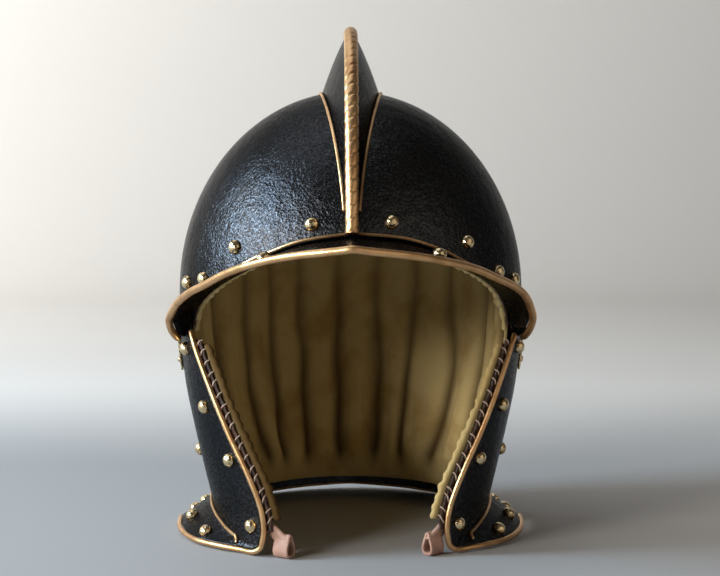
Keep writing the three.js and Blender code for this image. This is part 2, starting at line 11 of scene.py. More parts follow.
import bpy
import numpy as np
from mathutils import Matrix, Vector


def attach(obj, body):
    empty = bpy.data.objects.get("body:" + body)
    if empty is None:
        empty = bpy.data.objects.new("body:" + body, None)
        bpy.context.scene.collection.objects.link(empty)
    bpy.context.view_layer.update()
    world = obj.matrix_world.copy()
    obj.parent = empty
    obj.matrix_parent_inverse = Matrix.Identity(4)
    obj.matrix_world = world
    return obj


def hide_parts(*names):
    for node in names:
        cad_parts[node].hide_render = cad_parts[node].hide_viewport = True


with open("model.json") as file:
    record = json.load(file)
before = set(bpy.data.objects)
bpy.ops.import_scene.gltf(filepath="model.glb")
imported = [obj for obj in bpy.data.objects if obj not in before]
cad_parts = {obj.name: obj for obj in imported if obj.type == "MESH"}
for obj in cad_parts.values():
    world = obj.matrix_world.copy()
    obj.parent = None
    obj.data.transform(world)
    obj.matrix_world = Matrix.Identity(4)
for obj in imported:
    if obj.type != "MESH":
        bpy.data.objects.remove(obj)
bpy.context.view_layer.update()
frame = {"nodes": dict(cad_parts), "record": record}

# %% [markdown]
# ## The camera
# The helmet is seen from the front and a little from above. A long lens at about a metre keeps the
# peak from bulging, and the comb stands just right of the middle because the camera is turned by
# less than a degree.

# %% Camera
SENSOR = 36.0  # width, in millimetres
LENS = 83.6
CAMERA_AT = (-0.007, -1.0153, 0.2155)
LOOKS_DOWN = 3.63  # degrees
LOOKS_ASIDE = -0.71


def placed(name, data):
    made = bpy.data.objects.new(name, data)
    bpy.context.scene.collection.objects.link(made)
    return made


camera = placed("camera", bpy.data.cameras.new("camera"))
camera.data.sensor_fit = "HORIZONTAL"
camera.data.sensor_width = SENSOR
camera.data.lens = LENS
camera.location = CAMERA_AT
camera.rotation_euler = (math.radians(90 - LOOKS_DOWN), 0.0, math.radians(LOOKS_ASIDE))
bpy.context.scene.camera = camera
print("camera at", tuple(round(x, 3) for x in camera.location))

# %% [markdown]
# ## Shader maths as Python
# A node tree is easier to read as a formula. This class wraps one socket, so that a sum or a product
# of two sockets adds its Math node by itself. Every other kind of node comes from `node`, which sets
# the node's own settings first and then its sockets.


# %% A socket that can be used in formulas
class Wire:
    def __init__(self, tree, socket=None):
        self.tree = tree
        self.socket = socket

    def node(self, kind, settings=None, sockets=None, out=0):
        made = self.tree.nodes.new("ShaderNode" + kind)
        for name, value in (settings or {}).items():
            setattr(made, name, value)
        for name, value in (sockets or {}).items():
            if isinstance(value, Wire):
                self.tree.links.new(value.socket, made.inputs[name])
            else:
                made.inputs[name].default_value = value
        return Wire(self.tree, made.outputs[out])

    def math(self, operation, first, second):
        return self.node("Math", {"operation": operation}, {0: first, 1: second})

    def __add__(self, other):
        return self.math("ADD", self, other)

    def __sub__(self, other):
        return self.math("SUBTRACT", self, other)

    def __rsub__(self, other):
        return self.math("SUBTRACT", other, self)

    def __mul__(self, other):
        return self.math("MULTIPLY", self, other)

    __radd__ = __add__
    __rmul__ = __mul__


# %% Helpers for textures and finishes
def noise(place, size, detail=3.0, distortion=0.0):
    sockets = {"Vector": place, "Scale": 1 / size, "Detail": detail, "Distortion": distortion}
    return place.node("TexNoise", None, sockets)


def cells(place, size):
    return place.node("TexVoronoi", {"feature": "SMOOTH_F1"}, {"Vector": place, "Scale": 1 / size})


def between(value, low, high):
    sockets = {"Value": value, "From Min": low, "From Max": high}
    return value.node("MapRange", {"interpolation_type": "SMOOTHSTEP"}, sockets)


def mix(factor, first, second):
    return factor.node("Mix", {"data_type": "RGBA"}, {0: factor, 6: first, 7: second}, out=2)


def new_finish(name, **constants):
    material = bpy.data.materials.new(name)
    material.use_nodes = True
    shader = material.node_tree.nodes["Principled BSDF"]
    for socket, value in constants.items():
        shader.inputs[socket.replace("_", " ")].default_value = value
    place = Wire(material.node_tree).node("TexCoord", out="Object")
    return material, shader, place


def feed(shader, **wires):
    for socket, wire in wires.items():
        wire.tree.links.new(wire.socket, shader.inputs[socket.replace("_", " ")])


def bump(height, distance, strength):
    sockets = {"Height": height, "Distance": distance, "Strength": strength}
    return height.node("Bump", None, sockets)


# %% [markdown]
# ## Blackened steel
# The plates were hammered to shape and left black from the forge, then oiled, so the finish is a very
# dark metal with a cold sheen. The surface is finely pitted like leather: two sizes of grain drive the
# bump, the roughness and the colour together, and broad hammer marks break up the highlights. A grey
# specular tint keeps the edges of the dome from going pale, as they would on bare metal.

# %% Blackened steel
BLUE_BLACK = (0.026, 0.028, 0.032, 1)
RUST_BLACK = (0.034, 0.029, 0.026, 1)
HIGH_SPOTS = (0.058, 0.062, 0.068, 1)
EDGE_TINT = (0.46, 0.46, 0.46, 1)
GRAIN_SIZE = 0.0012  # metres, as for every texture below
PIT_SIZE = 0.0016
HAMMER_SIZE = 0.009
PATCH_SIZE = 0.035

black_steel, shader, place = new_finish("black_steel", Metallic=1.0, Specular_Tint=EDGE_TINT)
grain = noise(place, GRAIN_SIZE, distortion=0.6)
pits = cells(place, PIT_SIZE)
hammered = noise(place, HAMMER_SIZE, detail=2.0)
patches = noise(place, PATCH_SIZE)
height = grain * 0.9 + pits * 0.5
tone = between(height, 0.45, 0.9)
worn = mix(between(patches, 0.4, 0.75), BLUE_BLACK, RUST_BLACK)
feed(
    shader,
    Base_Color=mix(tone, worn, HIGH_SPOTS),
    Roughness=0.25 - 0.10 * tone + 0.08 * patches,
    Normal=bump(height + hammered * 2.0, distance=0.0010, strength=0.5),
)
print("finish:", black_steel.name)

# %% [markdown]
# ## Gilding and brass
# The rolls and lines carry worn gilding, which goes coppery where it is rubbed. The rivets are plain
# polished brass with a few dents. Both are full metals, so their colour is the colour of what they
# reflect, and only the roughness and small dents tell them apart.

# %% Gilding and brass
GILT = (0.79, 0.50, 0.25, 1)
RUBBED_GILT = (0.60, 0.34, 0.155, 1)
BRASS = (0.80, 0.64, 0.38, 1)
STAINED_BRASS = (0.36, 0.25, 0.12, 1)

gilding, shader, place = new_finish("gilding", Metallic=1.0)
rubbed = between(noise(place, 0.012, detail=4.0), 0.35, 0.7)
scratches = noise(place, 0.0016)
feed(
    shader,
    Base_Color=mix(rubbed, GILT, RUBBED_GILT),
    Roughness=0.29 + 0.16 * scratches,
    Normal=bump(scratches, distance=0.0003, strength=0.35),
)

polished_brass, shader, place = new_finish("polished_brass", Metallic=1.0)
dents = noise(place, 0.0034, detail=2.0)
stain = between(noise(place, 0.0022), 0.55, 0.72)
feed(
    shader,
    Base_Color=mix(stain, BRASS, STAINED_BRASS),
    Roughness=0.17 + 0.2 * stain,
    Normal=bump(dents, distance=0.0012, strength=0.6),
)
print("finishes:", gilding.name, polished_brass.name)

# %% [markdown]
# ## Linen
# The lining is coarse unbleached linen. A weave is two sets of threads, so two Wave textures across
# each other give the bump. Sweat and age show as brown clouds. The dark gathers are soiling and painted
# shade together: the mesh carries an attribute, ridge, that is 1 on the folds and 0 between them, and
# the colour darkens between the folds, where shade falls. Cloth is dull, so its gloss is turned well
# down.

# %% Linen
FRESH_LINEN = (0.60, 0.45, 0.185, 1)
AGED_LINEN = (0.42, 0.27, 0.075, 1)
SOILED_AND_SHADED_LINEN = (0.085, 0.046, 0.012, 1)
PALE_SLUBS = (0.66, 0.56, 0.38, 1)
WEAVE_SCALE = 420.0

linen, shader, place = new_finish("linen", Roughness=0.92, Specular_IOR_Level=0.2)


def threads(direction):
    settings = {"wave_type": "BANDS", "bands_direction": direction}
    sockets = {"Vector": place, "Scale": WEAVE_SCALE, "Distortion": 1.2}
    return place.node("TexWave", settings, sockets)


weave = threads("Z") * 0.5 + threads("DIAGONAL") * 0.5
clouds = between(noise(place, 0.03, detail=4.0, distortion=0.5), 0.42, 0.72)
slubs = noise(place, 0.004)
ridge = place.node("Attribute", {"attribute_name": "ridge"}, out="Fac")
cloth = mix(clouds, FRESH_LINEN, AGED_LINEN)
# Painted shade with soiling: the linen darkens between the folds, where shade falls, and its pale slubs
# show only on the folds.
soil_and_shade = mix(between(ridge, 0.0, 0.9), SOILED_AND_SHADED_LINEN, cloth)
feed(
    shader,
    Base_Color=mix(0.3 * slubs * ridge, soil_and_shade, PALE_SLUBS),
    Normal=bump(weave * 0.5 + slubs, distance=0.0004, strength=0.4),
)
print("finish:", linen.name)

# %% [markdown]
# ## Leather and thread
# A dark band edges the lining, and pale loops at the chin take the lace. Leather grain is a net of
# small cells, so a Voronoi texture drives the bump. The thread is waxed linen, lighter than both.


# %% Leather and thread
def leather(name, light, dark):
    material, shader, place = new_finish(name)
    grain = cells(place, 0.0013)
    scuffs = between(noise(place, 0.009, detail=4.0), 0.4, 0.7)
    feed(
        shader,
        Base_Color=mix(scuffs, dark, light),
        Roughness=0.6 + 0.15 * scuffs,
        Normal=bump(grain + scuffs * 0.4, distance=0.0004, strength=0.5),
    )
    return material


dark_leather = leather("dark_leather", light=(0.075, 0.036, 0.022, 1), dark=(0.03, 0.014, 0.009, 1))
pale_leather = leather("pale_leather", light=(0.50, 0.31, 0.235, 1), dark=(0.36, 0.20, 0.145, 1))

THREAD_SHADE = (0.38, 0.27, 0.20, 1)
THREAD_LIGHT = (0.57, 0.44, 0.34, 1)
thread, shader, place = new_finish("thread", Roughness=0.8)
twist = noise(place, 0.0008, detail=2.0)
feed(shader, Base_Color=mix(twist, THREAD_SHADE, THREAD_LIGHT))
print("finishes:", dark_leather.name, pale_leather.name, thread.name)

# %% [markdown]
# ## Tables that shape the helmet
# The helmet's wall is a tapering oval with an egg-shaped dome on it. Short tables give its size at a
# few heights or angles, in millimetres, and a smooth curve through each column fills in the rest.
# Angles run round the head from the brow at 0 to the nape at 180.


# %% Smooth tables
def table(names, *rows):
    return dict(zip(names.split(), np.array(rows, float).T))


def curve(t, start, end, start_slope, end_slope, span):
    u = 1 - t
    bend = t * u * (u * start_slope - t * end_slope) * span
    return u * u * (1 + 2 * t) * start + t * t * (1 + 2 * u) * end + bend


def smooth(x, y):
    grade = np.diff(y) / np.diff(x)
    before, after = np.r_[grade[:1], grade], np.r_[grade, grade[-1:]]
    # The harmonic mean of the grades on both sides keeps the curve from overshooting its table.
    total = np.where(before * after > 0, before + after, 1.0)
    slope = np.where(before * after > 0, 2 * before * after / total, 0.0)

    def at(value):
        value = np.clip(value, x[0], x[-1])
        k = np.clip(np.searchsorted(x, value) - 1, 0, len(x) - 2)
        span = x[k + 1] - x[k]
        return curve((value - x[k]) / span, y[k], y[k + 1], slope[k], slope[k + 1], span)

    return at


def smooth_columns(rows):
    by, *columns = rows.values()
    return [smooth(by, column) for column in columns]


[ramp] = smooth_columns(table("x y", (0, 0), (2, 10)))
print("halfway along a straight table from 0 to 10:", ramp(1.0))

# %% The wall of the helmet
WIDEST = 143.0  # height of the widest level
CROWN = 122.0  # from there to the top of the dome
WALL = table(
    "z half front back",
    (15, 86, 105, 105), (35, 90.8, 107, 107), (60, 96.6, 111, 112),
    (90, 102.4, 116, 119), (118, 105.1, 120, 124), (WIDEST, 105.3, 122, 126),
)
half_at, front_at, back_at = smooth_columns(WALL)


def xyz(x, y, z):
    return np.stack(np.broadcast_arrays(x, y, z), axis=-1)


def wall(angle, z):
    rise = np.clip((z - WIDEST) / CROWN, 0, 1)
    shrink = np.sqrt(1 - rise**2)
    side = np.sin(np.radians(angle))
    ahead = np.cos(np.radians(angle))
    reach = np.where(ahead > 0, front_at(z), back_at(z))
    return xyz(half_at(z) * shrink * side, -reach * shrink * ahead, z)


print("wall at the temple:", wall(90.0, WIDEST).round(1), "mm")

# %% [markdown]
# ## Surfaces, normals and edges
# Each plate is a surface of two numbers, one round the head and one up it. Its normal comes from two
# short steps along it. With the normal known, a layer can be set inside the plate, and a roll can be
# laid just beyond its edge.


# %% Normals, layers and edges
STEP = 1e-3  # along a surface, to feel its slope


def unit(vectors):
    length = np.linalg.norm(vectors, axis=-1, keepdims=True)
    return vectors / np.maximum(length, 1e-12)


def normal_at(surface, u, v):
    along_u = surface(u + STEP, v) - surface(u - STEP, v)
    along_v = surface(u, v + STEP) - surface(u, v - STEP)
    normal = np.cross(along_u, along_v)
    steep = np.linalg.norm(normal, axis=-1, keepdims=True) > 1e-9
    return np.where(steep, unit(normal), (0.0, 0.0, 1.0))


def under(surface, u, v, depth):
    return surface(u, v) - normal_at(surface, u, v) * np.asarray(depth)[..., None]


def outward(angle, z):
    along = wall(angle + 0.01, z) - wall(angle - 0.01, z)
    return unit(xyz(along[..., 1], -along[..., 0], 0.0 * along[..., 0]))


def beyond(surface, u, v, depth, distance, along_rim):
    normal = normal_at(surface, u, v)
    if along_rim:
        away = np.cross(surface(u + STEP, v) - surface(u - STEP, v), normal)
    else:
        away = np.cross(normal, surface(u, v + STEP) - surface(u, v - STEP))
    return under(surface, u, v, depth) + unit(away) * distance


def lerp(a, b, t):
    return a + (b - a) * t


def eased(t):
    return t * t * (3 - 2 * t)


print("normal at the brow:", normal_at(wall, 0.0, WIDEST - 5).round(2))

# %% [markdown]
# ## From surfaces to meshes
# A sheet of steel, cloth or leather is a grid on its outer face, a second grid on its inner face, and
# a rounded rim between them. A closed shell like that renders well from both sides, which a single
# sheet of faces would not.


# %% Shells with rounded rims
def tidy_faces(faces):
    # Corners that meet at a pole count once, and a face that is left with two is dropped.
    kept = []
    for face in faces.tolist():
        once = list(dict.fromkeys(face))
        if len(once) > 2:
            kept.append(once)
    return kept


def quads(index):
    a, b = index[:-1, :-1], index[:-1, 1:]
    c, d = index[1:, 1:], index[1:, :-1]
    return np.stack([a, b, c, d], axis=-1).reshape(-1, 4)


def shell(surface, us, vs, inset, thickness, ring=False, pole=False, bulge=0.25, turns=4):
    u, v = np.meshgrid(np.asarray(us, float), np.asarray(vs, float))
    normal = normal_at(surface, u, v)
    outer = surface(u, v) - normal * inset
    thick = np.broadcast_to(thickness, u.shape)[..., None]
    inner = outer - normal * thick
    index = np.arange(u.size).reshape(u.shape)
    if pole:
        index[-1, :] = index[-1, 0]
    wrapped = np.c_[index, index[:, :1]] if ring else index
    points = [outer.reshape(-1, 3), inner.reshape(-1, 3)]
    faces = [quads(wrapped), quads(wrapped)[:, ::-1] + u.size]
    if ring:
        loops = [index[0]] if pole else [index[0], index[-1, ::-1]]
    else:
        loops = [np.r_[index[0, :-1], index[:-1, -1], index[-1, :0:-1], index[:0:-1, 0]]]
    count = 2 * u.size
    for loop in loops:
        out_points = points[0][loop]
        in_points = points[1][loop]
        through = out_points - in_points
        along = np.roll(out_points, -1, 0) - np.roll(out_points, 1, 0)
        away = unit(np.cross(along, through))
        swell = bulge * np.linalg.norm(through, axis=-1, keepdims=True)
        bands = [loop]
        for turn in range(1, turns):
            t = math.pi * turn / turns
            middle = (out_points + in_points) / 2 + through / 2 * math.cos(t)
            points.append(middle + away * swell * math.sin(t))
            bands.append(np.arange(count, count + len(loop)))
            count += len(loop)
        bands.append(loop + u.size)
        closed = np.array([np.r_[band, band[:1]] for band in bands])
        faces.append(quads(closed)[:, ::-1])
    return np.concatenate(points), tidy_faces(np.concatenate(faces))


print("shell over one square:", len(shell(wall, [80, 90], [100, 110], 0, 1)[1]), "faces")


# %% Lofts and rolls
def loft(outlines, closed=False):
    stations, count = outlines.shape[:2]
    index = np.arange(stations * count).reshape(stations, count)
    rows = np.r_[index, index[:1]] if closed else index
    faces = tidy_faces(quads(np.c_[rows, rows[:, :1]])[:, ::-1])
    if not closed:
        faces += [index[0].tolist(), index[-1, ::-1].tolist()]
    return outlines.reshape(-1, 3), faces


def even(points, count):
    run = np.r_[0, np.cumsum(np.linalg.norm(np.diff(points, axis=0), axis=1))]
    at = np.linspace(0, run[-1], count)
    return np.stack([np.interp(at, run, points[:, k]) for k in range(3)], axis=-1)


def rounded(points, count, per_step=10):
    # Knots at the square root of the distance keep a curve through uneven points free of loops.
    gaps = np.linalg.norm(np.diff(points, axis=0), axis=1) ** 0.5
    knots = np.r_[0, np.cumsum(gaps)]
    secant = np.diff(points, axis=0) / gaps[:, None]
    weighted = gaps[1:, None] * secant[:-1] + gaps[:-1, None] * secant[1:]
    slope = np.r_[secant[:1], weighted / (gaps[1:] + gaps[:-1])[:, None], secant[-1:]]
    at = np.linspace(0, knots[-1], per_step * len(gaps) + 1)
    k = np.clip(np.searchsorted(knots, at) - 1, 0, len(gaps) - 1)
    span = gaps[k][:, None]
    t = ((at - knots[k]) / gaps[k])[:, None]
    return even(curve(t, points[k], points[k + 1], slope[k], slope[k + 1], span), count)


ODD_DIRECTION = (0.31, 0.52, 0.79)  # runs along no roll and no rivet
CAP = np.radians([80, 55, 28])  # steps of a rounded end


def roll(path, radius, sides=14):
    radius = np.broadcast_to(radius, len(path)).astype(float)
    along = unit(np.gradient(path, axis=0))
    side = np.cross(along[0], ODD_DIRECTION)
    sides_at = []
    for direction in along:
        side = unit(side - direction * np.dot(side, direction))
        sides_at.append(side)
    across = np.array(sides_at)
    upright = np.cross(along, across)
    before = path[0] - along[0] * (radius[0] * np.sin(CAP))[:, None]
    after = path[-1] + along[-1] * (radius[-1] * np.sin(CAP[::-1]))[:, None]
    centres = np.r_[before, path, after]
    radii = np.r_[radius[0] * np.cos(CAP), radius, radius[-1] * np.cos(CAP[::-1])]
    across = np.r_[across[[0] * len(CAP)], across, across[[-1] * len(CAP)]]
    upright = np.r_[upright[[0] * len(CAP)], upright, upright[[-1] * len(CAP)]]
    t = np.linspace(0, 2 * math.pi, sides, endpoint=False)
    spokes = across[:, None] * np.cos(t)[:, None] - upright[:, None] * np.sin(t)[:, None]
    return loft(centres[:, None] + spokes * radii[:, None, None])


print("roll with two stations:", len(roll(wall(np.array([80.0, 90.0]), 100.0), 2.0)[1]), "faces")


# %% Joining, mirroring and cutting
def together(*meshes):
    points, faces, count = [], [], 0
    for some_points, some_faces in meshes:
        points.append(some_points)
        faces += [[k + count for k in face] for face in some_faces]
        count += len(some_points)
    return np.concatenate(points), faces


def mirrored(mesh):
    points, faces = mesh
    return points * (-1, 1, 1), [face[::-1] for face in faces]


MILLIMETRES = 1000  # in a metre
SHIFT = np.array([0.0, 19.824, 6.0])  # from the tables to the floor under the helmet


def mesh_of(name, mesh, ridge=None):
    points, faces = mesh
    used = np.unique(np.concatenate([np.asarray(face) for face in faces]))
    new_index = np.zeros(len(points), int)
    new_index[used] = np.arange(len(used))
    data = bpy.data.meshes.new(name)
    in_metres = (points[used] + SHIFT) / MILLIMETRES
    data.from_pydata(in_metres.tolist(), [], [new_index[face].tolist() for face in faces])
    if ridge is not None:
        # Both faces of a shell share the grid of heights, and its rim takes one value.
        edge = np.full(len(points) - 2 * ridge.size, ridge[:, 0].mean())
        heights = np.r_[ridge.ravel(), ridge.ravel(), edge]
        data.attributes.new("ridge", "FLOAT", "POINT").data.foreach_set("value", heights[used])
    return data


def shaped(name, first, *steps):
    target = placed(name, mesh_of(name, first))
    tools = []
    for operation, mesh in steps:
        tool = placed("tool", mesh_of("tool", mesh))
        cut = target.modifiers.new(operation.lower(), "BOOLEAN")
        cut.operation = operation
        cut.solver = "MANIFOLD"
        cut.object = tool
        tools.append(tool)
    solved = target.evaluated_get(bpy.context.evaluated_depsgraph_get()).to_mesh()
    points = np.array([vertex.co for vertex in solved.vertices]) * MILLIMETRES - SHIFT
    faces = [list(polygon.vertices) for polygon in solved.polygons]
    for leftover in [target, *tools]:
        bpy.data.objects.remove(leftover)
    return points, faces


# %% [markdown]
# ## Adding a piece
# Every piece is treated alike. It gets its finish and smooth shading with crisp creases, rides on
# the part of the helmet that moves it, and hides the plain solids that it stands for.


# %% Add a piece to the helmet
def add_piece(name, mesh, finish, body, slot, *stands_for, crease=38, ridge=None):
    data = mesh_of(name, mesh, ridge)
    piece = placed(name, data)
    data.materials.append(finish)
    data.shade_smooth()
    data.set_sharp_from_angle(angle=math.radians(crease))
    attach(piece, body)
    if stands_for:
        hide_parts(*stands_for)
    print(f"{name}: {len(data.polygons)} faces")
    return piece


SIDES = {"left": 1, "right": -1}

# %% [markdown]
# ## Skull and comb
# The skull was raised from one plate, with the comb drawn up out of it as a hollow ridge. A smooth
# way to make that is a dome and a lofted ridge joined by a Boolean, and a second loft that hollows
# the ridge. The Manifold solver keeps the result closed, and crisp shading stays at the foot.

# %% The dome
STEEL = 1.6  # thickness of the plates
GAP = 0.3  # between pieces that touch
SKULL_EDGE = table(
    "angle z dip lining",
    (0, 180.4, 0, 189), (15, 178, 1.6, 186.5), (28, 171.6, 3.1, 180), (38, 163.5, 2.9, 172),
    (47, 157, 3.5, 165), (57, 148, 4, 156), (66, 136, 1.6, 145), (75, 118, 0, 126),
    (87, 118, 0, 124), (96, 118, 0, 30), (103, 94, 0, 12), (112, 72, 0, 10), (180, 72, 0, 10),
)
skull_edge_at, skull_dip_at, lining_edge_at = smooth_columns(SKULL_EDGE)


def from_brow(angle):
    return np.abs(np.mod(angle + 180, 360) - 180)


def on_right(angle, dip):
    return np.where(np.mod(angle, 360) > 180, dip, 0.0)


def skull_edge(angle):
    return skull_edge_at(from_brow(angle)) - on_right(angle, skull_dip_at(from_brow(angle)))


def level_of(z):
    rise = (z - WIDEST) / CROWN
    return np.degrees(np.where(rise > 0, np.arcsin(np.clip(rise, 0, 1)), rise))


def height_of(level):
    t = np.radians(np.minimum(level, 90))
    return WIDEST + CROWN * np.where(t > 0, np.sin(t), t)


def skull_surface(angle, v):
    return wall(angle, height_of(lerp(level_of(skull_edge(angle)), 90, v)))


rows = np.r_[np.linspace(0, 0.96, 46), 0.98, 1]
dome = shell(skull_surface, np.arange(-180, 180, 2), rows, 0, STEEL, ring=True, pole=True)
print("dome:", len(dome[1]), "faces")

# %% The comb
COMB_START = 19.6  # degrees up the front of the dome
COMB_END = 172.0
COMB_SPAN = (14.0, 180.0)  # where its sides would run out
COMB_HALF = (2.6, 18.2)  # half its width, at its ends and in the middle
COMB_RISE = (1.6, 33.8)
ROPE = (3.55, 4.05)  # radius of its roped edge
HOLLOW_FROM = 8.0  # the lowest comb that is hollow


class CombStations:
    def __init__(self, level):
        t = np.radians(level)
        reach = np.where(level < 90, WALL["front"][-1], WALL["back"][-1])
        self.foot = xyz(0 * t, -reach * np.cos(t), WIDEST + CROWN * np.sin(t))
        up = xyz(0 * t, -np.cos(t) / reach, np.sin(t) / CROWN)
        self.up = unit(up)
        along = (level - COMB_SPAN[0]) / (COMB_SPAN[1] - COMB_SPAN[0])
        swell = np.sin(math.pi * along) ** 1.65
        self.half = lerp(*COMB_HALF, swell**1.1)
        self.rise = lerp(*COMB_RISE, swell)
        self.rope = lerp(*ROPE, swell**0.4)
        self.crest = 0.8 * self.rope
        self.fall = -0.5 * self.half**2 / (WALL["half"][-1] ** 2 * np.linalg.norm(up, axis=-1))

    def at(self, x, height):
        points = self.foot[:, None] + self.up[:, None] * height[..., None]
        points[..., 0] = x
        return points


def comb_body(comb):
    t = np.linspace(0, 1, 9)
    foot = (comb.fall - 0.5 * STEEL)[:, None]
    rise = comb.rise[:, None]
    x = lerp(comb.half[:, None], comb.crest[:, None], t) + 0.04 * rise * t * (1 - t)
    height = lerp(foot, rise, t) - 2 * foot * t * (1 - t)
    return loft(comb.at(np.c_[x, -x[:, ::-1]], np.c_[height, height[:, ::-1]]))


def comb_hollow(comb):
    foot = comb.half - 1.3 * STEEL
    head = comb.crest - STEEL
    low = comb.fall - 3 * STEEL
    high = comb.rise - 1.5 * STEEL
    return loft(comb.at(np.c_[-foot, foot, head, -head], np.c_[low, low, high, high]))


levels = np.linspace(COMB_START, COMB_END, 150)
tall_levels = levels[CombStations(levels).rise > HOLLOW_FROM]
ridge = comb_body(CombStations(levels))
inside = comb_hollow(CombStations(tall_levels))
skull = shaped("skull_plate", dome, ("UNION", ridge), ("DIFFERENCE", inside))
skull_plate = add_piece("skull_plate", skull, black_steel, "helmet", "black_steel", "skull", crease=30)
even_normals = skull_plate.modifiers.new("even_normals", "WEIGHTED_NORMAL")
even_normals.keep_sharp = True

# %% [markdown]
# ## Roped edge and foot lines of the comb
# The comb's edge is rolled over and filed across like a rope. Sweeping a section whose radius dips
# along a slanted wave cuts those strands as real notches, so they show in the outline too. A thin
# gilt line runs along each foot.

# %% Rope and lines
ROPE_PITCH = 7.7
ROPE_START = 17.6
ROPE_ABOVE = 18.0  # the rope's mean height over the dome
LINE = 0.95  # radius of the gilt lines

levels = np.linspace(ROPE_START, COMB_END - 0.2, 900)
comb = CombStations(levels)
run = np.radians(levels - COMB_START) * (WALL["front"][-1] + ROPE_ABOVE)
turn = np.radians(np.linspace(-30, 210, 21))
wave = 0.5 + 0.5 * np.cos(2 * math.pi * run[:, None] / ROPE_PITCH + 2 * turn)
radius = comb.rope[:, None] * (1.03 - 0.11 * wave**6)
middle = (comb.rise + GAP + 0.42 * comb.rope)[:, None]
rope = loft(comb.at(np.cos(turn) * radius, middle + np.maximum(np.sin(turn), -0.4) * radius))
add_piece("comb_rope_roll", rope, gilding, "helmet", "gilt", "comb_rope")

comb = CombStations(np.linspace(COMB_START + 5, COMB_END - 1, 220))
for side, sign in SIDES.items():
    x = sign * (comb.half + 0.9)
    foot_line = comb.at(x[:, None], (comb.fall + 0.55)[:, None])[:, 0]
    line = roll(foot_line, LINE, 8)
    add_piece(f"comb_foot_line_{side}", line, gilding, "helmet", "gilt", f"comb_line_{side}")

# %% [markdown]
# ## Peak
# The peak is a separate plate. Its bill stands out over the brow and comes to a point, and its root
# turns up inside the skull, where rivets hold it. One surface covers both, with the bill below 1 and
# the root above it.

# %% Peak, its roll and its line
PEAK_END = 71.5  # degrees from the brow
PEAK_ROOT = 2.7  # how far inside the skull its root lies
PEAK_LAP = 11.0
PEAK = table(
    "angle reach drop dip",
    (0, 54, 3.6, 0), (10, 45.5, 5.4, 0), (19, 36, 6.4, 0.7), (38, 19, 3.8, 3.1), (57, 12, 2.4, 4.2),
    (66, 9.6, 4, 1.5), (69.5, 5.6, 4, 0.9), (PEAK_END, 1.8, 2.4, 0.5),
)
peak_reach, peak_drop, peak_dip = smooth_columns(PEAK)


def peak_surface(angle, v):
    brow = skull_edge(angle)
    reach = lerp(peak_reach(np.abs(angle)), -PEAK_ROOT, v)
    bill = wall(angle, brow) + outward(angle, brow) * np.asarray(reach)[..., None]
    dip = on_right(angle, peak_dip(np.abs(angle)) - skull_dip_at(np.abs(angle)))
    bill[..., 2] = brow - (peak_drop(np.abs(angle)) + dip) * (1 - v) - 4 * GAP
    root = under(wall, angle, brow + (v - 1) * PEAK_LAP, PEAK_ROOT)
    return np.where(np.asarray(v > 1)[..., None], root, bill)


rows = np.r_[np.linspace(0, 0.95, 16), np.linspace(0.97, 1.1, 7), np.linspace(1.25, 2, 4)]
peak = shell(peak_surface, np.linspace(-PEAK_END, PEAK_END, 221), rows, 0, STEEL)
add_piece("peak_plate", peak, black_steel, "helmet", "black_steel", "peak")

PEAK_ROLL = 2.2
ROLL_GAP = 0.5  # between a plate's edge and its roll
half_rim = np.array([2, 5, 10, 16, 24, 32, 40, 48, 56, 62, 66, 69, 71, PEAK_END])
rim = np.r_[-half_rim[::-1], 0, half_rim]
edge = beyond(peak_surface, rim, 0 * rim, 0.5 * STEEL, PEAK_ROLL + ROLL_GAP, along_rim=True)
edge_roll = roll(rounded(edge, 320), PEAK_ROLL, 16)
add_piece("peak_edge_roll", edge_roll, gilding, "helmet", "gilt", "peak_edge")

angles = np.linspace(-71, 71, 200)
brow = skull_edge(angles) + LINE
brow_line = wall(angles, brow) + outward(angles, brow) * 0.6
add_piece("brow_line", roll(brow_line, LINE, 8), gilding, "helmet", "gilt", "peak_line")

# %% [markdown]
# ## Neck guard
# The lower border flares out all round. Behind, it belongs to the neck guard, a plate tucked up
# inside the skull. The crease where the flare starts is sharp and carries a gilt line, and the rim
# is rolled like the peak's.

# %% Neck guard, its roll and its line
LAPPED = 2.4  # how far inside the other plates it lies
EDGE_ROLL = 1.6
CHEEK_REAR = 95.0  # degrees from the brow, as are the next two
NECK_FRONT = 88.0
NECK_ROLL_START = 98.0
NECK_TOP = 108.0
FLARE = table(
    "angle crease reach rim",
    (30, -0.4, 0.2, -1.7), (46, -0.2, 0.8, -1.9), (55, 2.2, 6.5, -1.8), (66, 6.8, 13.5, -1.7),
    (80, 11.6, 18, -0.7), (95, 15.8, 19.5, 0.6), (120, 19, 22, 0.4), (140, 20, 25, -0.6),
    (160, 20, 27, 0.8), (180, 20, 28, 2.4),
)
crease_at, reach_at, rim_at = smooth_columns(FLARE)


def flare(angle, spread):
    crease = crease_at(from_brow(angle))
    reach = reach_at(from_brow(angle)) * np.maximum(spread, 0) ** 1.2
    point = wall(angle, crease) + outward(angle, crease) * reach[..., None]
    point[..., 2] = lerp(crease, rim_at(from_brow(angle)), spread)
    return point


def neck_surface(angle, v):
    t = np.clip((from_brow(angle) - CHEEK_REAR - 0.4) / (NECK_ROLL_START - CHEEK_REAR - 1.2), 0, 1)
    border = flare(angle, -v * lerp(0.7, 1, eased(t)))
    high = np.minimum(skull_edge(angle) + 10, NECK_TOP)
    upright = wall(angle, lerp(crease_at(from_brow(angle)), high, v))
    return np.where(np.asarray(v < 0)[..., None], border, upright)


ends = np.linspace(NECK_FRONT, 100, 16)
columns = np.r_[ends, np.linspace(102, 258, 79), 360 - ends[::-1]]
rows = np.r_[np.linspace(-1, -0.05, 14), -0.015, 0.015, np.linspace(0.05, 1, 16)]
neck = shell(neck_surface, columns, rows, LAPPED, STEEL)
add_piece("neck_plate", neck, black_steel, "helmet", "black_steel", "neck_guard")

